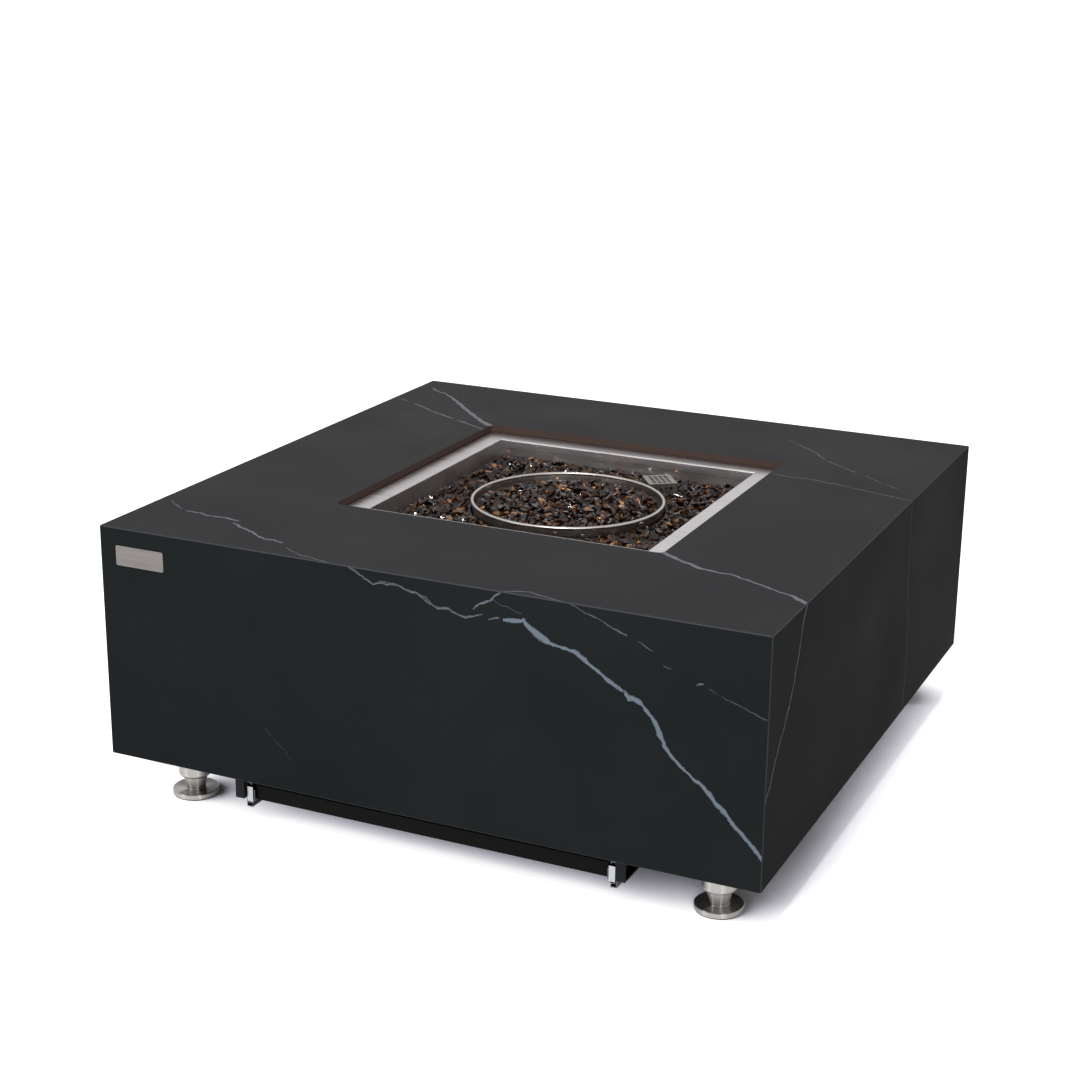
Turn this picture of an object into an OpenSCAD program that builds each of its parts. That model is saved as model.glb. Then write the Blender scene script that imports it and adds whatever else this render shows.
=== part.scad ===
// Square gas fire pit table. Porcelain slabs are mitred round a welded steel frame, a stainless
// burner pan drops into the top, and the gas controls sit in a drawer on ball-bearing runners below.
// Millimetres. The origin is on the floor under the table's centre, +Z is up and the front faces -Y.

/* [Table] */
// Width and depth of the square table over its porcelain faces
table_w = 920; // [860:5:1000]
// Height of the tabletop above the floor
table_h = 395; // [370:1:460]
// Gap from the floor to the lower edge of the side panels
floor_gap = 74; // [60:1:80]
// Thickness of the porcelain slabs
slab_t = 12; // [9:0.5:16]
// Width of the eased arris on the slabs' outer edges
arris = 1.2; // [0.8:0.1:2]
// Side of the square cut-out in the tabletop
cutout_w = 476; // [468:1:490]
// Corner radius of the cut-out
cutout_r = 10; // [4:1:16]

/* [Name plate] */
// Width of the bare plate on the front panel
plate_w = 73; // [40:1:120]
// Height of the plate
plate_h = 27; // [15:1:40]
// Thickness of the plate
plate_t = 0.8; // [0.5:0.1:1.5]
// Corner radius of the plate
plate_r = 2.5; // [1:0.5:6]
// Distance from the front panel's left edge to the plate
plate_left = 25; // [15:1:60]
// Distance from the tabletop down to the plate
plate_down = 23.5; // [16:0.5:60]

/* [Frame] */
// Side of the square frame tube
tube_w = 25; // [20:1:30]
// Wall of the frame tube
tube_wall = 1.5; // [1:0.1:2.5]
// Height of the rails that carry the burner pan
pan_rail_h = 20; // [15:1:30]
// Bearing of the slab on the pan rails, past the edge of the cut-out
slab_bearing = 11; // [6:1:20]
// Side of the square plates that carry the feet
corner_plate_w = 100; // [92:1:130]
// Thickness of those plates
corner_plate_t = 3; // [2:0.5:6]

/* [Feet] */
// Distance from the table's edge to each foot's axis
foot_inset = 78; // [66:1:84]
// Diameter of the foot's disc
disc_d = 62.5; // [50:0.5:75]
// Thickness of the disc
disc_t = 7; // [4:0.5:10]
// Thickness of the rubber pad under the disc
pad_t = 1.5; // [1:0.5:3]
// Height of the tapered column above the disc
column_h = 18.5; // [10:0.5:22]
// Diameter of the column where it meets the disc
column_foot_d = 26; // [22:1:31]
// Diameter of the column where it meets the collar
column_top_d = 33; // [24:1:38]
// Diameter of the fixed collar
collar_d = 44; // [40:1:50]
// Diameter of the threaded stud
stud_d = 12; // [8:1:16]
// Length of the stud above the column
stud_l = 30; // [20:1:32]

/* [Burner] */
// Inside width of the square burner pan
pan_w = 410; // [400:1:420]
// Depth of the pan from its flange to its floor
pan_depth = 78; // [70:1:100]
// Thickness of the pan's sheet
pan_sheet = 1.5; // [1:0.1:2.5]
// Radius of the bend between the pan's walls and its flange
pan_bend = 2; // [1:0.1:3]
// Diameter of the burner bowl over its rolled rim
bowl_d = 275; // [240:1:285]
// Diameter of the bowl's flat floor
bowl_floor_d = 190; // [180:1:205]
// Thickness of the bowl's sheet
bowl_sheet = 1.2; // [0.8:0.1:2]
// Diameter of the bowl's rolled rim bead
bead_d = 4.5; // [3:0.1:7]
// Distance from the pan's flange down to the bowl's rim
rim_down = 13; // [8:1:16]
// Diameter of the burner ring at the centre of its tube
ring_d = 160; // [130:1:170]
// Diameter of the burner ring's tube
ring_tube_d = 16; // [12:1:18]
// Gas ports round the burner ring
ring_ports = 20; // [8:1:24]
// Outside diameter of the gas riser
riser_d = 21.3; // [16:0.1:24]
// Distance from the pan's flange down to the general level of the fire glass
glass_down = 25; // [22:1:32]
// Distance between the fire glass chips of the top layer
chip_pitch = 24; // [20:1:30]

/* [Pilot guard] */
// Width of the perforated guard
guard_w = 42; // [36:1:46]
// Length of the guard
guard_l = 46; // [40:1:50]
// Direction of the guard from the middle of the pan, in degrees
guard_dir = 61; // [45:1:65]
// Turn of the guard about its own middle, in degrees
guard_turn = 36; // [0:1:60]
// Distance from the pan's flange down to the guard's top
guard_down = 12; // [8:1:16]
// Side of the square holes in the guard's top
guard_hole = 5; // [3:0.5:5.5]

/* [Control drawer] */
// Width of the drawer over its side walls
drawer_w = 507; // [460:1:560]
// Depth of the drawer, front to back
drawer_l = 310; // [305:1:380]
// Distance from the panel's face back to the drawer's front
drawer_back_from = 32; // [29:1:45]
// Drop of the drawer's underside below the panel's edge
drawer_drop = 39; // [38:0.5:44]
// Height of the drawer's front wall
front_wall_h = 20; // [14:1:24]
// Height of the drawer's side walls
side_wall_h = 33; // [30:0.5:35]
// Thickness of the drawer's sheet
drawer_sheet = 1.5; // [1:0.1:2]
// Width of the fixed side rails
rail_w = 13; // [12:0.5:18]
// Drop of the side rails below the panel's edge
rail_drop = 37; // [34:1:42]
// Distance from the panel's face back to the rails' ends
rail_back_from = 22; // [18:1:24]
// Thickness of the rails' sheet
rail_sheet = 2; // [1.5:0.1:2.5]

/* [Runners] */
// Length of the runners
runner_l = 300; // [280:1:302]
// Height of the runners
runner_h = 35; // [33:0.5:38]
// Drop of the runners' underside below the panel's edge
runner_drop = 50; // [48:0.5:54]
// Distance from the panel's face back to the runners' ends
runner_back_from = 28; // [26:1:34]
// Height of the bright stop tab at the runner's front end
tab_h = 21; // [12:1:24]
// Distance from the runner's top down to that tab
tab_drop = 5.5; // [2:0.5:8]
// Balls in each row of a cage
row_balls = 8; // [4:1:8]

/* [Controls] */
// Height of the control bracket's top above the drawer's underside
bracket_h = 21; // [20.5:0.1:21.5]
// Width of the control bracket
bracket_w = 260; // [200:5:300]
// Depth of the control bracket
bracket_l = 63; // [54:1:90]
// Diameter of the control knob
knob_d = 40; // [32:1:50]
// Diameter of the valve stem
stem_d = 8; // [6:0.5:9]
// Diameter of the gas ports' flare threads, 5/8 inch
port_d = 15.88; // [12:0.01:16]
// Length of the flare threads
port_l = 14; // [10:1:20]
// Diameter of the igniter button
button_d = 14; // [10:0.5:18]
// Push travel of the knob on its stem
knob_push = 1.8; // [1:0.1:1.9]
// Push travel of the igniter button
button_push = 3; // [2:0.1:3.5]

/* [Clearances] */
// Gap where one fixed piece seats on another
seat = 0.2; // [0.1:0.05:0.3]
// Glue line between the porcelain and the frame
bond = 0.3; // [0.1:0.05:0.5]
// Gap that the mitred edges leave in each slab
mitre_gap = 0.15; // [0.05:0.05:0.25]
// Radial play of turning and sliding pins
pin_play = 0.05; // [0.02:0.01:0.1]
// Side play of the pan between its rails
pan_play = 2.5; // [1:0.5:4]
// Gap round the pan's flange in the cut-out
flange_gap = 2; // [1:0.5:4]
// Gap between the drawer's highest point and the panel's edge
pass_gap = 3; // [2:0.1:3.2]

/* [Hidden] */
$fn = 64;

// Colours of the finishes
porcelain = "#2a2c2f";
black_coat = "#17181a";
stainless = "#b9babb";
zinc = "#d3d5d6";
brass_tone = "#b5914a";
dark_glass = "#2b201a";
rubber_tone = "#141414";
plastic_black = "#1d1d1f";
white_ceramic = "#e6e2d8";

// Shell and frame
half = table_w / 2;
frame_half = half - slab_t - bond;
frame_top = table_h - slab_t - bond;
tube_in = frame_half - tube_w;
ring_z = floor_gap + corner_plate_t + seat;
foot_at = half - foot_inset;
plate_mid = [plate_left - half + plate_w / 2, table_h - plate_down - plate_h / 2];
// Outline of a mitred slab: across its width, and in from its outer face
mitre_outline = [
    [arris - half, 0], [half - arris, 0],
    [half - arris / 2 - mitre_gap, arris / 2], [half - slab_t - mitre_gap, slab_t],
    [slab_t + mitre_gap - half, slab_t], [arris / 2 + mitre_gap - half, arris / 2]
];
// Section of a side panel: in from its outer face, and up from the floor
panel_section = [
    [arris, floor_gap], [slab_t, floor_gap], [slab_t, table_h - slab_t - mitre_gap],
    [arris / 2, table_h - arris / 2 - mitre_gap], [0, table_h - arris], [0, floor_gap + arris]
];

// Feet
column_z = pad_t + disc_t;
collar_z = column_z + column_h + seat;
stud_top = column_z + column_h + stud_l;
edge_break = 0.8;
column_fillet = 0.8;
stud_break = 1;
pad_in = 1.5;
collar_round = 5;

// Burner pan and what stands in it
flange_z = frame_top + seat;
flange_top = flange_z + pan_sheet;
flange_half = cutout_w / 2 - flange_gap;
pan_out = pan_w / 2 + pan_sheet;
pan_rail_in = pan_out + pan_play;
pan_rail_out = cutout_w / 2 + slab_bearing;
pan_floor_z = flange_top - pan_depth;
bowl_z = pan_floor_z + seat;
rim_z = flange_top - rim_down;
bead_r = bead_d / 2;
bowl_r = bowl_d / 2;
bowl_wall_r = bowl_r - bead_r + bowl_sheet / 2;
bowl_steps = 10;
riser_play = 0.5;
riser_hole_d = riser_d + 2 * riser_play;
ring_clear = 12;
ring_z_up = bowl_z + bowl_sheet + ring_clear + ring_tube_d / 2;
hub_wall = 5;
hub_d = riser_d + 2 * hub_wall;
hub_over = 2;
hub_h = ring_tube_d + 2 * hub_over;
spoke_d = ring_tube_d - 2;
ring_port_d = 3;
nut_h = 7;
nut_rim = 8;
nut_d = riser_d + 2 * nut_rim;
riser_wall = 2.5;
riser_tail = 40;
riser_z = pan_floor_z - pan_sheet - riser_tail;
mixer_wall = 4.5;
mixer_d = riser_d + 2 * mixer_wall;
mixer_grip = 15;
mixer_h = 45;
mixer_z = riser_z + mixer_grip - mixer_h;
mixer_floor = 5;
window_up = 4;
jet_up = 3;
jet_d = 2;
orifice_d = 10;
orifice_hex_d = 24;
orifice_hex_h = 10;

// Pilot guard
guard_t = 1;
guard_z = pan_floor_z + seat;
guard_top = flange_top - guard_down;
guard_clear = 0.6;
guard_lean = guard_dir - guard_turn;
guard_reach = (guard_w * abs(cos(guard_lean)) + guard_l * abs(sin(guard_lean))) / 2;
guard_r = bowl_r + guard_clear + guard_reach;
guard_at = [guard_r * cos(guard_dir), guard_r * sin(guard_dir)];
guard_bar = 2.5;
guard_edge = 3;
guard_pitch = guard_hole + guard_bar;
side_hole_d = guard_hole - 0.5;
pilot_spread = 9;
pilot_tail = 15;
electrode_d = 7;
ceramic_under = 8;
spark_rod_d = 2.4;
spark_under = 6;
thermocouple_d = 5.2;
probe_under = 8;
pilot_plate = [34, 18, 1.5];

// Fire glass
glass_z = flange_top - glass_down;
chip_h = 7;
chip_tilt = 14;
chip_tilt_least = 0.3;
chip_layer = chip_h / 2 + seat;
chip_r_least = 8;
chip_gap = 1.6;
chip_r_most = chip_pitch / 2 - chip_gap;
chip_clear = 1;
chip_seeds = [1000, 5000];
seed_step = 50;
bed_z = glass_z - chip_layer;
fill_gap = 0.5;
bowl_fill_up = 1;

// Drawer, rails and runners, measured down from the panels' lower edge
drawer_half = drawer_w / 2;
drawer_z = floor_gap - drawer_drop;
drawer_floor_z = drawer_z + drawer_sheet;
drawer_y = drawer_back_from - half;
drawer_end_y = drawer_y + drawer_l;
lip_l = 8;
hose_notch = 90;
runner_t = 12.7;
runner_u0 = drawer_half + seat + runner_t;
runner_y = runner_back_from - half;
runner_z = floor_gap - runner_drop + runner_h / 2;
rail_in = runner_u0 + seat;
rail_y = rail_back_from - half;
rail_tail = 20;
rail_end_y = drawer_end_y + rail_tail;
rail_top = ring_z - seat;
rail_z = floor_gap - rail_drop;
cross_in = 5;
cross_y = rail_end_y - tube_w - cross_in;
bolt_d = 5;
bolt_play = 0.4;
bolt_head_d = 9.2;
bolt_head_h = 3.5;
bolt_up = 6;
bolt_x = rail_in + rail_sheet + (rail_w - rail_sheet) / 2;
bolt_in = 6;
bolt_rows = [-tube_in - bolt_in, cross_y + tube_w / 2];

// Runner sections, measured from the rail towards the drawer and up from the runner's middle
outer_sheet = 1.2;
outer_depth = 8.7;
outer_lip = 1.8;
mid_u = 2.2;
mid_sheet = 1;
mid_depth = 7.2;
mid_lip = 1.2;
outer_race = 5.3;
mid_h = runner_h - 2 * outer_race;
inner_u = 5.2;
inner_sheet = 1.2;
inner_race = 4.6;
inner_h = mid_h - 2 * inner_race;
ball_play = 0.1;
outer_ball_d = (runner_h - 2 * outer_sheet - mid_h) / 2 - 2 * ball_play;
inner_ball_d = (mid_h - 2 * mid_sheet - inner_h) / 2 - 2 * ball_play;
outer_ball_u = 5;
inner_ball_u = 6.4;
outer_ball_at = [outer_ball_u, (mid_h / 2 + runner_h / 2 - outer_sheet) / 2];
inner_ball_at = [inner_ball_u, (inner_h / 2 + mid_h / 2 - mid_sheet) / 2];
cage_t = 0.5;
cage_gap = 0.25;
outer_cage_depth = 5.75;
inner_cage_depth = 4.5;
cage_end = 10;
ball_pitch = 20;
cage_l = ball_pitch * (row_balls - 1) + 2 * cage_end;
cage_from = (runner_l - cage_l) / 2;
tab_t = 1.5;
tab_u = [2, 10.5];
end_gap = 0.3;

// Controls in the drawer
bracket_top = drawer_z + bracket_h;
bracket_sheet = 1.5;
bracket_back = 22;
bracket_y = drawer_y + bracket_back;
bracket_foot = 12;
valve_x = -60;
button_x = 60;
valve_half = [23, 14];
valve_past = 1;
control_y = bracket_y + bracket_l + valve_past - valve_half[1];
valve_up = 2;
valve_z = drawer_floor_z + valve_up;
valve_top = bracket_top - bracket_sheet - seat;
port_spread = 13;
nut_room = 11.5;
port_z = drawer_floor_z + nut_room;
port_step = 1;
port_neck_d = port_d - 2 * port_step;
port_bore_in = 4;
port_neck_l = 5;
neck_wall = 3;
neck_d = stem_d + 2 * neck_wall;
neck_up = 1.6;
valve_nut_h = 1.8;
valve_nut_d = 22;
stem_up = 5;
stem_z = valve_z + stem_up;
bore_under = 3;
knob_top = floor_gap - pass_gap;
knob_crown = 2;
stem_top = knob_top - knob_crown;
push_clear = 0.4;
washer_clear = 0.2;
knob_skirt_z = bracket_top + knob_push + push_clear;
washer_z = bracket_top + seat + valve_nut_h + knob_push + washer_clear;
washer_t = 0.8;
washer_d = 18;
knob_ceiling_z = washer_z + washer_t + seat;
knob_recess_d = 26;
knob_web = 2.6;
grip_z = knob_ceiling_z + knob_web;
grip_in = 1;
grip_w = 10;
knob_flute_d = 5;
knob_flutes = 18;
switch_wall = 2;
switch_d = button_d + 2 * switch_wall;
bezel_lap = 4;
bezel_d = switch_d + 2 * bezel_lap;
bezel_h = 2.6;
switch_up = 3.5;
switch_z = drawer_floor_z + switch_up;
switch_floor = 4;
button_up = 4.5;
module_size = [72, 46, 24];
module_gap = 24;
module_back = 40;
module_at = [bracket_w / 2 + module_gap, drawer_y + module_back];
module_round = 4;
cap_d = 17;
cap_h = 6;
cap_bar = 2;
cap_rim = 1.5;

// Block between two corners
module block(lo, hi) {
    translate(lo) cube(hi - lo);
}

// Square tube between two corners, open at both ends along one axis
module tube(lo, hi, along) {
    inset = [for (i = [0:2]) i == along ? -1 : tube_wall];
    difference() {
        block(lo, hi);
        block(lo + inset, hi - inset);
    }
}

// Rectangle with round corners, centred
module rounded(w, l, r) {
    square([w - 2 * r, l], center = true);
    square([w, l - 2 * r], center = true);
    for (sx = [-1, 1], sy = [-1, 1]) translate([sx * (w / 2 - r), sy * (l / 2 - r)]) circle(r);
}

// Quarter arc of points round a centre, from one angle to another
function arc(cx, cy, r, from, to, steps = 6) =
    [for (i = [0:steps]) let (a = from + (to - from) * i / steps) [cx + r * cos(a), cy + r * sin(a)]];

// Four copies, one in each corner of the table
module in_corners() {
    for (sx = [0, 1], sy = [0, 1]) mirror([sx, 0, 0]) mirror([0, sy, 0]) children();
}

// Porcelain shell
module slab_sweep() {
    translate([0, -half, table_h]) rotate([-90, 0, 0]) linear_extrude(table_w) polygon(mitre_outline);
}

module top_slab() {
    color(porcelain) difference() {
        intersection() {
            slab_sweep();
            rotate([0, 0, 90]) slab_sweep();
        }
        translate([0, 0, table_h - slab_t - 1]) linear_extrude(slab_t + 2)
            rounded(cutout_w, cutout_w, cutout_r);
    }
}

module side_panel(turn) {
    color(porcelain) rotate([0, 0, turn]) intersection() {
        translate([0, -half, floor_gap]) linear_extrude(table_h - floor_gap) polygon(mitre_outline);
        translate([-half, -half, 0]) rotate([90, 0, 90]) linear_extrude(table_w) polygon(panel_section);
    }
}

module name_plate() {
    color(stainless)
        translate([plate_mid[0], -half - seat / 2, plate_mid[1]])
            rotate([90, 0, 0]) linear_extrude(plate_t) rounded(plate_w, plate_h, plate_r);
}

// Welded frame
module ring_tubes(z) {
    for (s = [0, 1]) {
        mirror([0, s, 0])
            tube([-frame_half, -frame_half, z], [frame_half, -tube_in, z + tube_w], 0);
        mirror([s, 0, 0])
            tube([tube_in, seat - tube_in, z], [frame_half, tube_in - seat, z + tube_w], 1);
    }
}

module frame_top_rails() {
    color(black_coat) ring_tubes(frame_top - tube_w);
}

module frame_posts() {
    lo = ring_z + tube_w + seat;
    hi = frame_top - tube_w - seat;
    color(black_coat) in_corners() tube([tube_in, tube_in, lo], [frame_half, frame_half, hi], 2);
}

module bolt_holes() {
    for (s = [-1, 1], y = bolt_rows)
        translate([s * bolt_x, y, rail_top - rail_sheet - 1])
            cylinder(h = bolt_up + 2, d = bolt_d + bolt_play);
}

module frame_bottom_rails() {
    color(black_coat) difference() {
        ring_tubes(ring_z);
        bolt_holes();
    }
}

module pan_support_rails() {
    z = frame_top - pan_rail_h;
    color(black_coat) for (s = [0, 1]) {
        mirror([s, 0, 0])
            tube([pan_rail_in, seat - tube_in, z], [pan_rail_out, tube_in - seat, frame_top], 1);
        mirror([0, s, 0])
            tube([seat - pan_rail_in, pan_rail_in, z], [pan_rail_in - seat, pan_rail_out, frame_top], 0);
    }
}

module drawer_cross_rail() {
    color(black_coat) difference() {
        tube([seat - tube_in, cross_y, ring_z], [tube_in - seat, cross_y + tube_w, ring_z + tube_w], 0);
        bolt_holes();
    }
}

module corner_plates() {
    inner = frame_half - corner_plate_w;
    color(black_coat) in_corners()
        block([inner, inner, floor_gap], [frame_half, frame_half, floor_gap + corner_plate_t]);
}

// Feet
module foot_collars() {
    length = floor_gap - seat - collar_z;
    color(stainless) in_corners() translate([foot_at, foot_at, collar_z]) difference() {
        rotate_extrude() polygon(concat(
            [[0, length], [0, 0]],
            arc(collar_d / 2 - collar_round, collar_round, collar_round, -90, 0),
            [[collar_d / 2, length]]
        ));
        translate([0, 0, -1]) cylinder(h = stud_l + 2, d = stud_d + 2 * pin_play);
    }
}

module levelling_foot(sx, sy) {
    column_r = column_foot_d / 2;
    color(stainless) translate([sx * foot_at, sy * foot_at, 0]) rotate_extrude() polygon(concat(
        [[0, pad_t], [disc_d / 2 - edge_break, pad_t], [disc_d / 2, pad_t + edge_break]],
        [[disc_d / 2, column_z - edge_break], [disc_d / 2 - edge_break, column_z]],
        arc(column_r + column_fillet, column_z + column_fillet, column_fillet, 270, 180),
        [[column_top_d / 2, column_z + column_h], [stud_d / 2, column_z + column_h]],
        [[stud_d / 2, stud_top - stud_break], [stud_d / 2 - stud_break, stud_top]],
        [[0, stud_top]]
    ));
}

module foot_pad(sx, sy) {
    color(rubber_tone) translate([sx * foot_at, sy * foot_at, 0])
        cylinder(h = pad_t, d = disc_d - 2 * pad_in);
}

// Burner pan, bowl and gas train
// The pan's mouth, flared by the bend of its sheet: a square turned from a quarter arc
module pan_mouth() {
    side = pan_w / 2 + pan_bend;
    flare = concat(
        [[0, flange_top - pan_bend]], arc(side, flange_top - pan_bend, pan_bend, 180, 90, 4),
        [[side, flange_top + 1], [0, flange_top + 1]]
    );
    rotate([0, 0, 45]) rotate_extrude($fn = 4) polygon([for (p = flare) [p[0] * sqrt(2), p[1]]]);
}

module burner_pan() {
    color(stainless) difference() {
        union() {
            translate([0, 0, flange_z]) linear_extrude(pan_sheet)
                rounded(2 * flange_half, 2 * flange_half, max(cutout_r - flange_gap, 1));
            block([-pan_out, -pan_out, pan_floor_z - pan_sheet], [pan_out, pan_out, flange_top]);
        }
        block([-pan_w / 2, -pan_w / 2, pan_floor_z], [pan_w / 2, pan_w / 2, flange_top + 1]);
        pan_mouth();
        translate([0, 0, pan_floor_z - pan_sheet - 1]) cylinder(h = pan_sheet + 2, d = riser_hole_d);
        pilot_holes(pan_floor_z - pan_sheet - 1, pan_sheet + 2);
    }
}

// Half outline of the bowl as a dish that rises from its floor to an upright wall, drawn in by a wall
function dish(wall, top) = concat(
    [[0, bowl_z + wall]],
    [for (i = [0:bowl_steps]) let (a = 90 * i / bowl_steps) [
        bowl_floor_d / 2 + (bowl_wall_r - bowl_floor_d / 2) * sin(a) - wall,
        bowl_z + wall + (rim_z - bead_r - bowl_z - wall) * (1 - cos(a))
    ]],
    [[bowl_wall_r - wall, top], [0, top]]
);

module burner_bowl() {
    color(stainless) {
        difference() {
            rotate_extrude() polygon(dish(0, rim_z - bead_r + 0.1));
            rotate_extrude() polygon(dish(bowl_sheet, rim_z));
            translate([0, 0, bowl_z - 1]) cylinder(h = bowl_sheet + 2, d = riser_hole_d);
        }
        rotate_extrude() translate([bowl_r - bead_r, rim_z - bead_r]) circle(bead_r);
    }
}

module burner_ring() {
    color(stainless) translate([0, 0, ring_z_up]) difference() {
        union() {
            rotate_extrude() translate([ring_d / 2, 0]) circle(d = ring_tube_d);
            rotate([0, 90, 0]) cylinder(h = ring_d, d = spoke_d, center = true);
            translate([0, 0, -hub_h / 2]) cylinder(h = hub_h, d = hub_d);
        }
        for (i = [0:ring_ports - 1]) rotate([0, 0, (i + 0.5) * 360 / ring_ports])
            translate([ring_d / 2, 0, ring_tube_d / 4]) cylinder(h = ring_tube_d, d = ring_port_d);
    }
}

module gas_riser() {
    top = ring_z_up - hub_h / 2 - seat;
    color(brass_tone) difference() {
        translate([0, 0, riser_z]) cylinder(h = top - riser_z, d = riser_d);
        translate([0, 0, riser_z - 1]) cylinder(h = top - riser_z + 2, d = riser_d - 2 * riser_wall);
    }
}

module riser_nut(z) {
    translate([0, 0, z]) difference() {
        cylinder(h = nut_h, d = nut_d, $fn = 6);
        translate([0, 0, -1]) cylinder(h = nut_h + 2, d = riser_d + 2 * pin_play);
    }
}

module riser_nuts() {
    color(brass_tone) {
        riser_nut(bowl_z + bowl_sheet + seat);
        riser_nut(pan_floor_z - pan_sheet - seat - nut_h);
    }
}

module air_mixer() {
    window = [mixer_d + 2, mixer_d / 3, (mixer_h - mixer_grip) / 2];
    color(stainless) translate([0, 0, mixer_z]) difference() {
        cylinder(h = mixer_h, d = mixer_d);
        translate([0, 0, mixer_floor]) cylinder(h = mixer_h, d = riser_d + 2 * pin_play);
        translate([0, 0, -1]) cylinder(h = mixer_floor + 2, d = orifice_d + 2 * pin_play);
        for (turn = [0, 90]) rotate([0, 0, turn])
            translate([-window[0] / 2, -window[1] / 2, mixer_floor + window_up]) cube(window);
    }
}

module gas_orifice() {
    color(brass_tone) translate([0, 0, mixer_z - seat]) difference() {
        union() {
            cylinder(h = mixer_floor + jet_up, d = orifice_d);
            translate([0, 0, -orifice_hex_h]) cylinder(h = orifice_hex_h, d = orifice_hex_d, $fn = 6);
            translate([0, 0, -orifice_hex_h - port_l]) cylinder(h = port_l, d = port_d);
        }
        translate([0, 0, -orifice_hex_h - port_l - 1])
            cylinder(h = port_l + orifice_hex_h, d = port_d / 2);
        translate([0, 0, -2]) cylinder(h = mixer_floor + jet_up + 3, d = jet_d);
    }
}

// Pilot assembly under its guard
module at_pilot(along = 0) {
    translate([guard_at[0], guard_at[1], 0]) rotate([0, 0, guard_turn])
        translate([along, 0, 0]) children();
}

module pilot_holes(z, h) {
    at_pilot(-pilot_spread) translate([0, 0, z]) cylinder(h = h, d = electrode_d + 2 * pin_play);
    at_pilot(pilot_spread) translate([0, 0, z]) cylinder(h = h, d = thermocouple_d + 2 * pin_play);
}

module pilot_guard() {
    size = [guard_w, guard_l];
    row = [for (s = size) let (n = floor((s - 2 * guard_edge) / guard_pitch))
        [for (i = [0:n - 1]) (i - (n - 1) / 2) * guard_pitch]];
    color(stainless) at_pilot() difference() {
        block([-guard_w / 2, -guard_l / 2, guard_z], [guard_w / 2, guard_l / 2, guard_top]);
        block(
            [guard_t - guard_w / 2, guard_t - guard_l / 2, guard_z - 1],
            [guard_w / 2 - guard_t, guard_l / 2 - guard_t, guard_top - guard_t]
        );
        for (x = row[0], y = row[1]) translate([x, y, guard_top])
            cube([guard_hole, guard_hole, 4 * guard_t], center = true);
        for (k = [0, 1], along = row[k]) rotate([0, 0, 90 * k])
            translate([along, 0, guard_top - guard_pitch]) rotate([90, 0, 0])
                cylinder(h = max(size) + 2, d = side_hole_d, center = true, $fn = 32);
    }
}

module pilot_bracket() {
    color(stainless) difference() {
        at_pilot() translate([0, 0, pan_floor_z + seat + pilot_plate[2] / 2])
            cube(pilot_plate, center = true);
        pilot_holes(pan_floor_z, pilot_plate[2] + 2);
    }
}

module spark_electrode() {
    ceramic_top = glass_z - ceramic_under;
    at_pilot(-pilot_spread) {
        color(white_ceramic) translate([0, 0, pan_floor_z - pilot_tail])
            cylinder(h = ceramic_top - pan_floor_z + pilot_tail, d = electrode_d);
        color(stainless) translate([0, 0, ceramic_top])
            cylinder(h = guard_top - spark_under - ceramic_top, d = spark_rod_d);
    }
}

module thermocouple() {
    color(brass_tone) at_pilot(pilot_spread) translate([0, 0, pan_floor_z - pilot_tail])
        cylinder(h = guard_top - probe_under - pan_floor_z + pilot_tail, d = thermocouple_d);
}

// Fire glass: the packed bed, and the loose chips of its top layer
module glass_bed() {
    reach = pan_w / 2 - fill_gap;
    color(dark_glass) difference() {
        block([-reach, -reach, pan_floor_z + seat], [reach, reach, bed_z]);
        translate([0, 0, pan_floor_z]) cylinder(h = pan_depth, r = bowl_r + fill_gap);
        at_pilot() block(
            [-guard_w / 2 - fill_gap, -guard_l / 2 - fill_gap, pan_floor_z],
            [guard_w / 2 + fill_gap, guard_l / 2 + fill_gap, flange_top]
        );
    }
}

module bowl_glass() {
    bottom = ring_z_up + hub_h / 2 + seat;
    color(dark_glass) intersection() {
        rotate_extrude() polygon(dish(bowl_sheet + fill_gap, rim_z));
        translate([0, 0, bottom]) cylinder(h = bed_z + bowl_fill_up - bottom, d = bowl_d);
    }
}

// One five-sided chip that leans on its bed, with its size and lean drawn from a seed
module chip(x, y, z, seed) {
    draw = rands(0, 1, 4, seed);
    r = chip_r_least + (chip_r_most - chip_r_least) * draw[0];
    lean = chip_tilt * (chip_tilt_least + (1 - chip_tilt_least) * draw[1]);
    lift = chip_h / 2 * cos(lean) + r * sin(lean);
    translate([x, y, z + seat + lift]) rotate([lean, 0, 360 * draw[2]]) rotate([0, 0, 72 * draw[3]])
        cylinder(h = chip_h, r = r, center = true, $fn = 5);
}

// Distance of a point past the guard's footprint
function past_guard(x, y) =
    let (dx = x - guard_at[0], dy = y - guard_at[1])
    max(
        abs(dx * cos(guard_turn) + dy * sin(guard_turn)) - guard_w / 2,
        abs(dy * cos(guard_turn) - dx * sin(guard_turn)) - guard_l / 2
    );

module glass_chips() {
    room = chip_r_most + chip_clear;
    reach = floor((pan_w / 2 - room - chip_clear) / chip_pitch);
    color(dark_glass) for (i = [-reach:reach], j = [-reach:reach]) {
        x = i * chip_pitch;
        y = j * chip_pitch;
        if (norm([x, y]) > bowl_r + room && past_guard(x, y) > room)
            chip(x, y, bed_z, chip_seeds[0] + seed_step * i + j);
    }
}

module bowl_chips() {
    reach = bowl_r - bead_d - chip_r_most - chip_clear;
    steps = floor(reach / chip_pitch);
    color(dark_glass) for (i = [-steps:steps], j = [-steps:steps])
        if (norm([i, j]) * chip_pitch < reach)
            chip(i * chip_pitch, j * chip_pitch, bed_z + bowl_fill_up, chip_seeds[1] + seed_step * i + j);
}

// One side of the drawer: 1 is the right as drawn, -1 its mirror on the left
module on_side(side) {
    mirror([side < 0 ? 1 : 0, 0, 0]) children();
}

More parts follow.
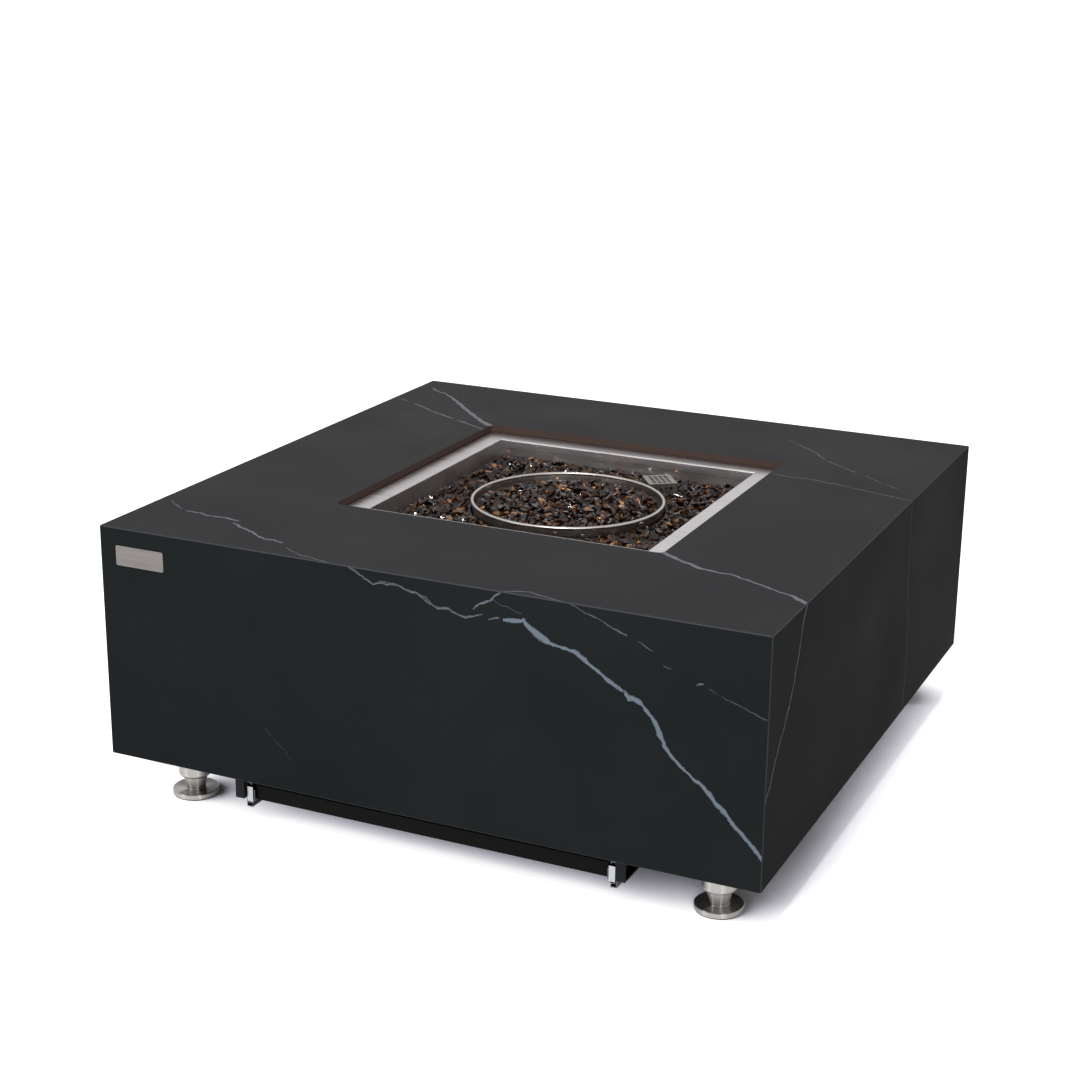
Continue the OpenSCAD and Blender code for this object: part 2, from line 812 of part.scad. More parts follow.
// Drawer rails, formed as channels that are closed at the front
module drawer_rail(side) {
    color(black_coat) on_side(side) difference() {
        block([rail_in, rail_y, rail_z], [rail_in + rail_w, rail_end_y, rail_top]);
        block(
            [rail_in + rail_sheet, rail_y + rail_sheet, rail_z + rail_sheet],
            [rail_in + rail_w + 1, rail_end_y + 1, rail_top - rail_sheet]
        );
        bolt_holes();
    }
}

module rail_bolts() {
    color(zinc) for (s = [-1, 1], y = bolt_rows)
        translate([s * bolt_x, y, rail_top - rail_sheet - seat]) {
            cylinder(h = bolt_up, d = bolt_d);
            translate([0, 0, -bolt_head_h]) cylinder(h = bolt_head_h, d = bolt_head_d, $fn = 6);
        }
}

// Ball-bearing runners: sections are drawn flat, then stood up along the drawer's side
module on_runner(side, from) {
    on_side(side) translate([runner_u0, runner_y + from, runner_z]) rotate([90, 0, 180]) children();
}

// Lipped channel section, open away from the rail
module channel(depth, height, sheet, lip) {
    inside = depth - sheet - (lip > 0 ? sheet : -1);
    difference() {
        translate([0, -height / 2]) square([depth, height]);
        translate([sheet, sheet - height / 2]) square([inside, height - 2 * sheet]);
        translate([sheet, sheet + lip - height / 2]) square([depth, height - 2 * sheet - 2 * lip]);
    }
}

module runner_outer(side) {
    color(zinc) on_runner(side, end_gap) linear_extrude(runner_l - end_gap)
        channel(outer_depth, runner_h, outer_sheet, outer_lip);
}

module runner_middle(side) {
    color(zinc) on_runner(side, end_gap) linear_extrude(runner_l - end_gap)
        translate([mid_u, 0]) channel(mid_depth, mid_h, mid_sheet, mid_lip);
}

module runner_inner(side) {
    color(zinc) {
        on_runner(side, 0) linear_extrude(runner_l)
            translate([runner_t, 0]) mirror([1, 0]) channel(runner_t - inner_u, inner_h, inner_sheet, 0);
        on_runner(side, -tab_t) linear_extrude(tab_t)
            translate([tab_u[0], runner_h / 2 - tab_drop - tab_h]) square([tab_u[1] - tab_u[0], tab_h]);
    }
}

// Ball cage: a thin channel between two members, with a row of balls in each of its flanges
module cage(side, u0, depth, ball_at, ball_d) {
    height = 2 * ball_at[1] + cage_t;
    color(zinc) on_runner(side, cage_from) {
        linear_extrude(cage_l) translate([u0, 0]) channel(depth, height, cage_t, 0);
        for (i = [0:row_balls - 1], s = [-1, 1])
            translate([ball_at[0], s * ball_at[1], cage_end + i * ball_pitch])
                sphere(d = ball_d, $fn = 24);
    }
}

module outer_cage(side) {
    cage(side, outer_sheet + cage_gap, outer_cage_depth, outer_ball_at, outer_ball_d);
}

module inner_cage(side) {
    cage(side, mid_u + mid_sheet + cage_gap, inner_cage_depth, inner_ball_at, inner_ball_d);
}

// Control drawer and the controls in it
module control_drawer() {
    x = drawer_half - drawer_sheet;
    y0 = drawer_y + drawer_sheet;
    y1 = drawer_end_y - drawer_sheet;
    wall_z = drawer_z + front_wall_h;
    side_z = drawer_z + side_wall_h;
    color(black_coat) {
        difference() {
            block([-drawer_half, drawer_y, drawer_z], [drawer_half, drawer_end_y, side_z]);
            block([-x, y0, drawer_floor_z], [x, y1, side_z + 1]);
            block([-x, drawer_y - 1, wall_z], [x, drawer_end_y + 1, side_z + 1]);
            block(
                [valve_x - hose_notch / 2, y1 - 1, drawer_floor_z],
                [valve_x + hose_notch / 2, drawer_end_y + 1, wall_z + 1]
            );
        }
        block([-x, drawer_y, wall_z - drawer_sheet], [x, drawer_y + lip_l, wall_z]);
    }
}

module control_bracket() {
    w = bracket_w / 2;
    y1 = bracket_y + bracket_l;
    leg_z = drawer_floor_z + seat;
    foot_top = leg_z + bracket_sheet;
    color(black_coat) difference() {
        union() {
            block([-w, bracket_y, bracket_top - bracket_sheet], [w, y1, bracket_top]);
            for (side = [-1, 1]) on_side(side) {
                block([w - bracket_sheet, bracket_y, leg_z], [w, y1, bracket_top]);
                block([w - bracket_sheet, bracket_y, leg_z], [w + bracket_foot, y1, foot_top]);
            }
        }
        translate([valve_x, control_y, leg_z]) cylinder(h = bracket_h, d = neck_d + 2 * pin_play);
        translate([button_x, control_y, leg_z]) cylinder(h = bracket_h, d = switch_d + 2 * pin_play);
    }
}

// The valve's two gas ports, measured from the valve's axis and pointing back
module at_ports() {
    for (s = [-1, 1]) translate([s * port_spread, valve_half[1], port_z]) rotate([-90, 0, 0]) children();
}

module gas_valve() {
    color(brass_tone) translate([valve_x, control_y, 0]) difference() {
        union() {
            block([-valve_half[0], -valve_half[1], valve_z], [valve_half[0], valve_half[1], valve_top]);
            translate([0, 0, valve_top - 1])
                cylinder(h = bracket_top + neck_up - valve_top + 1, d = neck_d);
            at_ports() {
                cylinder(h = port_neck_l + 1, d = port_neck_d);
                translate([0, 0, port_neck_l]) cylinder(h = port_l, d = port_d);
            }
        }
        translate([0, 0, stem_z - bore_under]) cylinder(h = bracket_top, d = stem_d + 2 * pin_play);
        at_ports() translate([0, 0, -port_bore_in])
            cylinder(h = port_bore_in + port_neck_l + port_l + 1, d = port_d / 2);
    }
}

module valve_nut() {
    color(brass_tone) translate([valve_x, control_y, bracket_top + seat]) difference() {
        cylinder(h = valve_nut_h, d = valve_nut_d, $fn = 6);
        translate([0, 0, -1]) cylinder(h = valve_nut_h + 2, d = neck_d + 2 * pin_play);
    }
}

module stem_washer() {
    color(stainless) translate([valve_x, control_y, washer_z]) difference() {
        cylinder(h = washer_t, d = washer_d);
        translate([0, 0, -1]) cylinder(h = washer_t + 2, d = stem_d + 2 * pin_play);
    }
}

module valve_stem() {
    color(brass_tone) translate([valve_x, control_y, stem_z]) cylinder(h = stem_top - stem_z, d = stem_d);
}

module control_knob() {
    color(plastic_black) translate([valve_x, control_y, 0]) difference() {
        union() {
            translate([0, 0, knob_skirt_z]) cylinder(h = grip_z - knob_skirt_z, d = knob_d);
            intersection() {
                block([-knob_d, -grip_w / 2, grip_z - 1], [knob_d, grip_w / 2, knob_top]);
                cylinder(h = knob_top, d = knob_d - 2 * grip_in);
            }
        }
        translate([0, 0, knob_skirt_z - 1])
            cylinder(h = knob_ceiling_z - knob_skirt_z + 1, d = knob_recess_d);
        translate([0, 0, stem_z]) cylinder(h = stem_top + pin_play - stem_z, d = stem_d + 2 * pin_play);
        for (i = [0:knob_flutes - 1]) rotate([0, 0, i * 360 / knob_flutes])
            translate([knob_d / 2 + knob_flute_d / 3, 0, knob_skirt_z - 1])
                cylinder(h = grip_z - knob_skirt_z + 2, d = knob_flute_d, $fn = 24);
    }
}

module button_switch() {
    color(stainless) translate([button_x, control_y, 0]) difference() {
        union() {
            translate([0, 0, switch_z]) cylinder(h = bracket_top + bezel_h - switch_z, d = switch_d);
            translate([0, 0, bracket_top + seat]) cylinder(h = bezel_h - seat, d = bezel_d);
        }
        translate([0, 0, switch_z + switch_floor])
            cylinder(h = bracket_top, d = button_d + 2 * pin_play);
    }
}

module igniter_button() {
    bottom = switch_z + switch_floor + button_push + push_clear;
    color(plastic_black) translate([button_x, control_y, bottom])
        cylinder(h = bracket_top + bezel_h + button_up - bottom, d = button_d);
}

module igniter_module() {
    color(plastic_black) translate([module_at[0], module_at[1], drawer_floor_z + seat])
        translate([module_size[0] / 2, module_size[1] / 2, 0])
            linear_extrude(module_size[2]) rounded(module_size[0], module_size[1], module_round);
}

module battery_cap() {
    color(plastic_black)
        translate([module_at[0] + cap_d, module_at[1] - seat, drawer_floor_z + seat + module_size[2] / 2])
            rotate([90, 0, 0]) {
                cylinder(h = cap_h, d = cap_d);
                translate([cap_rim - cap_d / 2, -cap_bar / 2, 0])
                    cube([cap_d - 2 * cap_rim, cap_bar, cap_h + cap_bar]);
            }
}

top_slab();
side_panel(0);  // front_panel
side_panel(90);  // right_panel
side_panel(180);  // back_panel
side_panel(270);  // left_panel
name_plate();
frame_top_rails();
frame_posts();
frame_bottom_rails();
pan_support_rails();
drawer_cross_rail();
corner_plates();
foot_collars();
levelling_foot(-1, -1);  // levelling_foot_front_left
levelling_foot(1, -1);  // levelling_foot_front_right
levelling_foot(-1, 1);  // levelling_foot_back_left
levelling_foot(1, 1);  // levelling_foot_back_right
foot_pad(-1, -1);  // foot_pad_front_left
foot_pad(1, -1);  // foot_pad_front_right
foot_pad(-1, 1);  // foot_pad_back_left
foot_pad(1, 1);  // foot_pad_back_right
burner_pan();
burner_bowl();
burner_ring();
gas_riser();
riser_nuts();
air_mixer();
gas_orifice();
pilot_guard();
pilot_bracket();
spark_electrode();
thermocouple();
glass_bed();
bowl_glass();
glass_chips();
bowl_chips();
drawer_rail(-1);  // drawer_rail_left
drawer_rail(1);  // drawer_rail_right
rail_bolts();
runner_outer(-1);  // runner_outer_left
runner_outer(1);  // runner_outer_right
runner_middle(-1);  // runner_middle_left
runner_middle(1);  // runner_middle_right
runner_inner(-1);  // runner_inner_left
runner_inner(1);  // runner_inner_right
outer_cage(-1);  // outer_cage_left
outer_cage(1);  // outer_cage_right
inner_cage(-1);  // inner_cage_left
inner_cage(1);  // inner_cage_right
control_drawer();
control_bracket();
gas_valve();
valve_nut();
stem_washer();
valve_stem();
control_knob();
button_switch();
igniter_button();
igniter_module();
battery_cap();
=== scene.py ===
# Square gas fire pit table: a mitred porcelain shell on a welded frame, a burner in its top and
# a control drawer that slides out below its front panel.
import math
import random

import bmesh
import bpy
from mathutils import Matrix, Vector


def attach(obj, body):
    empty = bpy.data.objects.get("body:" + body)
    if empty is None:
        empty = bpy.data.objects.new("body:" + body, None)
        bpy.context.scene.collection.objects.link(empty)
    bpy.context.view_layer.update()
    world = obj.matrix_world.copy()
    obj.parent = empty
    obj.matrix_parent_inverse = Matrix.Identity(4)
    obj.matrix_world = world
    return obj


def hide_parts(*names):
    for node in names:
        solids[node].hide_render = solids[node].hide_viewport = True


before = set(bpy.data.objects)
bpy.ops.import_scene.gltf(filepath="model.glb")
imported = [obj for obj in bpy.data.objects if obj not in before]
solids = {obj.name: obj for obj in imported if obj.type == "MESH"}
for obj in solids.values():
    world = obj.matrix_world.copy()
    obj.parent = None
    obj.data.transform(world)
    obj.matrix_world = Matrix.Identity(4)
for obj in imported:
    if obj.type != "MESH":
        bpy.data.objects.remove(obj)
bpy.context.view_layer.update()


# The room: a roll of pale paper with one softbox high in front of the table. Two strip lights
# and a white surround are there for the steel and the glass to mirror. Paper and surround light
# the table only dimly, so that its sides stay darker than its top.
scene = bpy.context.scene
scene.view_settings.view_transform = "Standard"
white = (1.0, 1.0, 1.0, 1.0)
paper_half = 14.0
paper_rough = 0.9
paper_seen = 0.95
paper_bounce = 0.45
paper_painted_shadow_tint = (0.80, 0.79, 1.0, 1.0)
paper_glow = 0.92
paper_cover = 0.9
paper_open_to = (-0.6, -0.6, 0.53)
paper_probes = 32
paper_hidden = (0.35, 0.6)
paper_far = (0.9, 2.4)
surround_light = 0.3
softbox_side = 0.6
softbox_watts = 130.0
softbox_at = (0.36, -2.45, 3.5)
strip_size = (0.9, 1.6)
strip_watts = 15.0
strips_at = ((-1.7, -2.3, 0.95), (1.9, -2.2, 0.95))
table_middle = Vector((0.0, 0.0, 0.25))


def wire(tree, kind, feeds=None, **settings):
    """A shader node whose inputs are set to values or linked to other nodes' outputs."""
    made = tree.nodes.new("ShaderNode" + kind)
    for name, setting in settings.items():
        setattr(made, name, setting)
    for socket, feed in (feeds or {}).items():
        if isinstance(feed, bpy.types.NodeSocket):
            tree.links.new(feed, made.inputs[socket])
        else:
            made.inputs[socket].default_value = feed
    return made


def calc(tree, operation, first, second=0.0):
    """The output of a Math node."""
    return wire(tree, "Math", {0: first, 1: second}, operation=operation).outputs[0]


def stretch(tree, value, low, high, start=0.0, end=1.0):
    """Spreads a stretch of values over another, and keeps it inside."""
    feeds = {"Value": value, "From Min": low, "From Max": high, "To Min": start, "To Max": end}
    return wire(tree, "MapRange", feeds).outputs[0]


def blend(tree, share, first, second):
    """A colour that lies between two, by a share."""
    return wire(tree, "Mix", {0: share, 6: first, 7: second}, data_type="RGBA").outputs[2]


def substance(name):
    """A new material, with its node tree and its shader's inputs."""
    made = bpy.data.materials.new(name)
    made.use_nodes = True
    return made, made.node_tree, made.node_tree.nodes["Principled BSDF"].inputs


def seen_rays(tree):
    """One for rays of sight and mirroring, nought for the light that falls on the table."""
    path = wire(tree, "LightPath").outputs
    mirrored = calc(tree, "MAXIMUM", path["Is Glossy Ray"], path["Is Transmission Ray"])
    return calc(tree, "MAXIMUM", path["Is Camera Ray"], mirrored)


def piece(name, bm, *materials):
    """Turns a finished bmesh into an object of the scene."""
    mesh = bpy.data.meshes.new(name)
    bm.to_mesh(mesh)
    bm.free()
    for material in materials:
        mesh.materials.append(material)
    made = bpy.data.objects.new(name, mesh)
    scene.collection.objects.link(made)
    return made


def lamp(name, size, watts, at):
    """An area light, square or oblong, that faces the table."""
    made = bpy.data.lights.new(name, "AREA")
    made.shape = "RECTANGLE"
    made.size, made.size_y = size
    made.energy = watts
    stood = bpy.data.objects.new(name, made)
    stood.location = at
    stood.rotation_euler = (table_middle - stood.location).to_track_quat("-Z", "Y").to_euler()
    scene.collection.objects.link(stood)
    return stood


room = bpy.data.worlds.new("room")
room.use_nodes = True
scene.world = room
air = room.node_tree
surround = air.nodes["Background"].inputs
surround["Color"].default_value = white
level = stretch(air, seen_rays(air), 0.0, 1.0, surround_light, 1.0)
air.links.new(level, surround["Strength"])

# The paper glows white where its front and left lie open and far from the table. Below and behind
# the table its glow is dimmed and tinted lilac by how little sky it sees, a painted shadow, and it
# can't be seen from underneath.
paper, tree, sheet = substance("pale paper")
sheet["Roughness"].default_value = paper_rough
sheet["Specular IOR Level"].default_value = 0.0
seen = seen_rays(tree)
tree.links.new(stretch(tree, seen, 0.0, 1.0, paper_bounce, paper_seen), sheet["Base Color"])
place = wire(tree, "TexCoord").outputs["Object"]
away = wire(tree, "VectorMath", {0: place}, operation="LENGTH").outputs["Value"]
open_to = wire(tree, "CombineXYZ", dict(enumerate(paper_open_to))).outputs[0]
open_sky = wire(tree, "AmbientOcclusion", {"Distance": paper_cover, "Normal": open_to},
                samples=paper_probes).outputs["AO"]
# Painted shadow: the glow fades and turns lilac where the paper is hidden from the sky.
lit = stretch(tree, open_sky, *paper_hidden)
tree.links.new(blend(tree, lit, paper_painted_shadow_tint, white), sheet["Emission Color"])
glow = stretch(tree, away, *paper_far, calc(tree, "MULTIPLY", lit, paper_glow), 1.0)
tree.links.new(calc(tree, "MULTIPLY", seen, glow), sheet["Emission Strength"])
from_below = calc(tree, "MULTIPLY", wire(tree, "NewGeometry").outputs["Backfacing"],
                  wire(tree, "LightPath").outputs["Is Camera Ray"])
tree.links.new(calc(tree, "SUBTRACT", 1.0, from_below), sheet["Alpha"])

bm = bmesh.new()
bmesh.ops.create_grid(bm, x_segments=1, y_segments=1, size=paper_half)
piece("paper_floor", bm, paper)

lamp("softbox", (softbox_side, softbox_side), softbox_watts, softbox_at)
for at in strips_at:
    lamp("strip light", strip_size, strip_watts, at).visible_diffuse = False


# The camera stands to the right of the front corner and looks down on the tabletop, where the
# photograph was taken from.
camera_at = Vector((1.11067, -2.48441, 1.18413))
camera_right = Vector((0.91156, 0.41089, 0.01515))
camera_up = Vector((-0.13724, 0.26931, 0.95323))
lens = bpy.data.cameras.new("camera")
lens.sensor_width = 36.0
lens.lens = 67.09
lens.shift_x = -0.02856
lens.shift_y = -0.00789
camera = bpy.data.objects.new("camera", lens)
turned = Matrix((camera_right, camera_up, camera_right.cross(camera_up))).transposed()
camera.matrix_world = Matrix.Translation(camera_at) @ turned.to_4x4()
scene.collection.objects.link(camera)
scene.camera = camera


# The frame: square steel tube, welded and powder coated matt black. A ring at the top and one
# at the bottom are joined by posts, with rails under the pan, a cross rail for the drawer and
# plates that carry the feet.
quarter = math.pi / 2
noise_span = (0.3, 0.7)
pits_per_patch = 14.0
plate_edge = 0.3477
rail_run = (0.425, 0.4455)
weld_level = 0.0764
weld_ripples = 9
weld_half = (0.0021, 0.0021, 0.0015)


def tone(code):
    """Linear colour of a hex code, as the finish should look in the picture."""
    parts = [int(code[i:i + 2], 16) / 255 for i in (1, 3, 5)]
    return (*(p / 12.92 if p < 0.04045 else ((p + 0.055) / 1.055) ** 2.4 for p in parts), 1.0)


def vector(tree, operation, *feeds):
    """The vector output of a Vector Math node."""
    return wire(tree, "VectorMath", dict(enumerate(feeds)), operation=operation).outputs[0]


def noise(tree, place, scale, detail):
    """Cloudy noise between nought and one."""
    feeds = {"Vector": place, "Scale": scale, "Detail": detail}
    return wire(tree, "TexNoise", feeds).outputs[0]


def pattern(name, takes, gives):
    """An empty shader node group, with its inputs' and outputs' ends."""
    made = bpy.data.node_groups.new(name, "ShaderNodeTree")
    for title, kind in takes.items():
        made.interface.new_socket(title, in_out="INPUT", socket_type="NodeSocket" + kind)
    for title in gives:
        made.interface.new_socket(title, in_out="OUTPUT", socket_type="NodeSocketFloat")
    given, wanted = made.nodes.new("NodeGroupInput"), made.nodes.new("NodeGroupOutput")
    return made, given.outputs, wanted.inputs


def surface(tree, shader, mask, rough, height, depth):
    """Roughness that runs between two ends by a mask, and fine relief from a height."""
    tree.links.new(stretch(tree, mask, 0.0, 1.0, *rough), shader["Roughness"])
    relief = wire(tree, "Bump", {"Height": height, "Distance": depth})
    tree.links.new(relief.outputs[0], shader["Normal"])


def finish(name, colours, rough, marks, feeds, depth, metal=0.0, gloss=0.5,
           turn=(0.0, 0.0, 0.0), fold=None):
    """A finish whose colour and roughness run between two ends by a pattern's mask, with the
    pattern's height as its fine relief. A fold brings pieces in all corners to one centre."""
    made, tree, shader = substance(name)
    shader["Metallic"].default_value = metal
    shader["Specular IOR Level"].default_value = gloss
    place = wire(tree, "TexCoord").outputs["Object"]
    if fold:
        place = vector(tree, "SUBTRACT", vector(tree, "ABSOLUTE", place), fold)
    place = wire(tree, "Mapping", {"Vector": place, "Rotation": turn}).outputs[0]
    drawn = wire(tree, "Group", {"Place": place, **feeds}, node_tree=marks).outputs
    tree.links.new(blend(tree, drawn["Mask"], *map(tone, colours)), shader["Base Color"])
    surface(tree, shader, drawn["Mask"], rough, drawn["Height"], depth)
    return made


def dress(material, *names):
    """Gives solids of the frame a finish."""
    for name in names:
        for place in solids[name].material_slots:
            place.material = material


mottle, given, wanted = pattern("mottle", {"Place": "Vector", "Size": "Float"}, ("Mask", "Height"))
rate = calc(mottle, "DIVIDE", 1.0, given["Size"])
patches = noise(mottle, given["Place"], rate, 4.0)
pits = noise(mottle, given["Place"], calc(mottle, "MULTIPLY", rate, pits_per_patch), 2.0)
mottle.links.new(stretch(mottle, patches, *noise_span), wanted["Mask"])
mottle.links.new(pits, wanted["Height"])

frame_coat = finish("powder coat", ("#161617", "#1d1d1f"), (0.5, 0.62), mottle, {"Size": 0.02},
                    0.00012, gloss=0.12)
dress(frame_coat, "frame_top_rails", "frame_posts", "frame_bottom_rails", "pan_support_rails",
      "drawer_cross_rail", "corner_plates")

bm = bmesh.new()
for turns in range(4):
    around = Matrix.Rotation(turns * quarter, 4, "Z")
    for flip in (False, True):
        for step in range(weld_ripples):
            along = rail_run[0] + (rail_run[1] - rail_run[0]) * step / (weld_ripples - 1)
            across = (along, plate_edge) if flip else (plate_edge, along)
            at = Matrix.Translation((*across, weld_level))
            laid = around @ at @ Matrix.Diagonal((*weld_half, 1.0))
            bmesh.ops.create_icosphere(bm, subdivisions=2, radius=1.0, matrix=laid)
for face in bm.faces:
    face.smooth = True
plate_welds = piece("plate_welds", bm, frame_coat)
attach(plate_welds, "table")


# The levelling feet: turned from satin stainless bar, a disc and a tapered column on a threaded
# stud that screws up into a plain collar under each corner plate. A rubber pad is glued below.
foot_at = 0.382
fine_share = 0.6
bands_per_cut = 0.07


def layered(tree, fine, broad):
    """Fine marks mixed with broad ones."""
    return calc(tree, "ADD", calc(tree, "MULTIPLY", fine, fine_share),
                calc(tree, "MULTIPLY", broad, 1.0 - fine_share))


def striped(tree, along, detail):
    """Noise along one line, between nought and one."""
    feeds = {"W": along, "Scale": 1.0, "Detail": detail}
    return wire(tree, "TexNoise", feeds, noise_dimensions="1D").outputs[0]


turning, given, wanted = pattern("turning", {"Place": "Vector", "Pitch": "Float"},
                                 ("Mask", "Height"))
parts = wire(turning, "SeparateXYZ", {0: given["Place"]}).outputs
squares = [calc(turning, "MULTIPLY", parts[i], parts[i]) for i in (0, 1)]
radius = calc(turning, "SQRT", calc(turning, "ADD", *squares))
ring = calc(turning, "DIVIDE", calc(turning, "ADD", radius, parts[2]), given["Pitch"])
cuts = striped(turning, ring, 3.0)
bands = striped(turning, calc(turning, "MULTIPLY", ring, bands_per_cut), 1.0)
turning.links.new(stretch(turning, layered(turning, cuts, bands), *noise_span), wanted["Mask"])
turning.links.new(cuts, wanted["Height"])

turned_steel = finish("turned stainless", ("#9c9995", "#b0ada9"), (0.27, 0.35), turning,
                      {"Pitch": 0.0002}, 0.000003, metal=1.0, fold=(foot_at, foot_at, 0.0))
lathe_cut = turned_steel.node_tree.nodes["Principled BSDF"].inputs
lathe_cut["Anisotropic"].default_value = 1.0
lathe_cut["Anisotropic Rotation"].default_value = 0.25
foot_rubber = finish("foot rubber", ("#101010", "#181818"), (0.7, 0.85), mottle, {"Size": 0.01},
                     0.0001)
corners = [f"{end}_{side}" for end in ("front", "back") for side in ("left", "right")]
dress(turned_steel, "foot_collars", *(f"levelling_foot_{corner}" for corner in corners))
dress(foot_rubber, *(f"foot_pad_{corner}" for corner in corners))


# The shell: five porcelain slabs, 12 mm thick, matt black with grey veins that run through the
# body. Their edges are mitred, eased and bonded to the frame, and the eased arris is painted pale
# as a highlight.
table_half = 0.46
cutout_half = 0.238
vein_blue = "#7f8b98"
vein_grey = "#7a7c82"
arris_highlight_grey = "#4a4b4e"
sawn_firelight_brown = "#4a3d38"
slab_rough = (0.46, 0.58)
slab_relief = 0.00006
jag_scale = 65.0
jag_reach = 0.008
slanted_face = (0.9, 0.85)
arris_band = (table_half - 0.005, table_half - 0.003)
upright_face = (0.5, 0.4)
sawn_band = (cutout_half + 0.0006, cutout_half + 0.0003)
vein_swell = (0.6, 1.45)
vein_edge = (1.3, 0.7)
vein_gap = (-0.02, 0.05)
vein_in_gap = 0.12
vein_end = 0.01
vein_widest = 0.02

vein_line, given, wanted = pattern("vein line", {
    "Place": "Vector", "Off": "Float", "Half": "Float", "Along": "Float", "Gaps": "Float",
}, ("Mask",))
ragged = noise(vein_line, given["Place"], 95.0, 4.0)
swell = stretch(vein_line, ragged, 0.25, 0.75, *vein_swell)
half = calc(vein_line, "MULTIPLY", given["Half"], swell)
off = calc(vein_line, "ABSOLUTE", given["Off"])
line = stretch(vein_line, calc(vein_line, "DIVIDE", off, half), *vein_edge)
broken = noise(vein_line, given["Place"], 32.0, 3.0)
over = calc(vein_line, "SUBTRACT", broken, given["Gaps"])
whole = stretch(vein_line, over, *vein_gap, vein_in_gap, 1.0)
from_end = calc(vein_line, "SUBTRACT", 1.0, given["Along"])
inside = stretch(vein_line, calc(vein_line, "MINIMUM", given["Along"], from_end), 0.0, vein_end)
shown = calc(vein_line, "MULTIPLY", calc(vein_line, "MULTIPLY", line, whole), inside)
vein_line.links.new(shown, wanted["Mask"])

body, given, wanted = pattern("porcelain body", {"Place": "Vector"}, ("Cloud", "Height"))
cloud = noise(body, given["Place"], 5.0, 6.0)
body.links.new(stretch(body, cloud, *noise_span), wanted["Cloud"])
body.links.new(noise(body, given["Place"], 900.0, 2.0), wanted["Height"])


def curve(tree, value, points):
    """A Float Curve through points whose ends lie at nought and one."""
    made = wire(tree, "FloatCurve", {"Value": value})
    line = made.mapping.curves[0].points
    line[0].location, line[1].location = points[0], points[-1]
    for point in points[1:-1]:
        line.new(*point)
    for point in line:
        point.handle_type = "VECTOR"
    made.mapping.update()
    return made.outputs[0]


def vein(tree, place, run, across, points, gaps):
    """Mask of one vein. Its points hold how far it has run, how far across it lies and half its
    width, in millimetres."""
    first, last = points[0][0], points[-1][0]
    level = [p[1] for p in points]
    low, high = min(level), max(level)
    path, width = [], []
    for i, (at, aside, half) in enumerate(points):
        before, after = points[max(i - 1, 0)], points[min(i + 1, len(points) - 1)]
        slope = (after[1] - before[1]) / (after[0] - before[0])
        share = (at - first) / (last - first)
        path.append((share, (aside - low) / (high - low)))
        width.append((share, half * math.hypot(1.0, slope) / 1000 / vein_widest))
    share = stretch(tree, run, first / 1000, last / 1000)
    middle = stretch(tree, curve(tree, share, path), 0.0, 1.0, low / 1000, high / 1000)
    feeds = {"Place": place, "Off": calc(tree, "SUBTRACT", across, middle),
             "Half": calc(tree, "MULTIPLY", curve(tree, share, width), vein_widest),
             "Along": share, "Gaps": gaps}
    return wire(tree, "Group", feeds, node_tree=vein_line).outputs["Mask"]


def porcelain(name, colours, gloss, axes, veins):
    """The finish of one slab, with the veins that run over its face along two axes. Its colours
    and gloss are set per slab for how the light falls on that face: painted shade and sheen.
    """
    made, tree, shader = substance(name)
    shader["Specular IOR Level"].default_value = gloss
    coords = wire(tree, "TexCoord").outputs
    place = coords["Object"]
    stone = wire(tree, "Group", {"Place": place}, node_tree=body).outputs
    jags = {"Vector": place, "Scale": jag_scale, "Detail": 5.0, "Roughness": 0.62}
    jolt = wire(tree, "TexNoise", jags).outputs["Color"]
    jolt = vector(tree, "SUBTRACT", jolt, (0.5, 0.5, 0.5))
    jolt = wire(tree, "VectorMath", {0: jolt, "Scale": jag_reach}, operation="SCALE").outputs[0]
    moved = wire(tree, "SeparateXYZ", {0: vector(tree, "ADD", place, jolt)}).outputs
    colour = blend(tree, stone["Cloud"], *map(tone, colours))
    for hue, strength, upwards, gaps, points in veins:
        run, across = (axes[1], axes[0]) if upwards else axes
        mask = vein(tree, place, moved[run], moved[across], points, gaps)
        colour = blend(tree, calc(tree, "MULTIPLY", mask, strength), colour, tone(hue))
    faces = wire(tree, "SeparateXYZ", {0: vector(tree, "ABSOLUTE", coords["Normal"])}).outputs
    flat = calc(tree, "MAXIMUM", calc(tree, "MAXIMUM", faces[0], faces[1]), faces[2])
    reach = wire(tree, "SeparateXYZ", {0: vector(tree, "ABSOLUTE", place)}).outputs
    outermost = calc(tree, "MAXIMUM", reach[0], reach[1])
    # Painted highlight: the eased arris along the outer edges is coloured paler.
    arris_highlight = calc(tree, "MULTIPLY", stretch(tree, flat, *slanted_face),
                 stretch(tree, outermost, *arris_band))
    colour = blend(tree, arris_highlight, colour, tone(arris_highlight_grey))
    # Painted firelight: the sawn faces round the cut-out are tinted a warm brown glow.
    sawn_firelit = calc(tree, "MULTIPLY", stretch(tree, outermost, *sawn_band),
                stretch(tree, faces[2], *upright_face))
    tree.links.new(blend(tree, sawn_firelit, colour, tone(sawn_firelight_brown)), shader["Base Color"])
    surface(tree, shader, stone["Cloud"], slab_rough, stone["Height"], slab_relief)
    return made


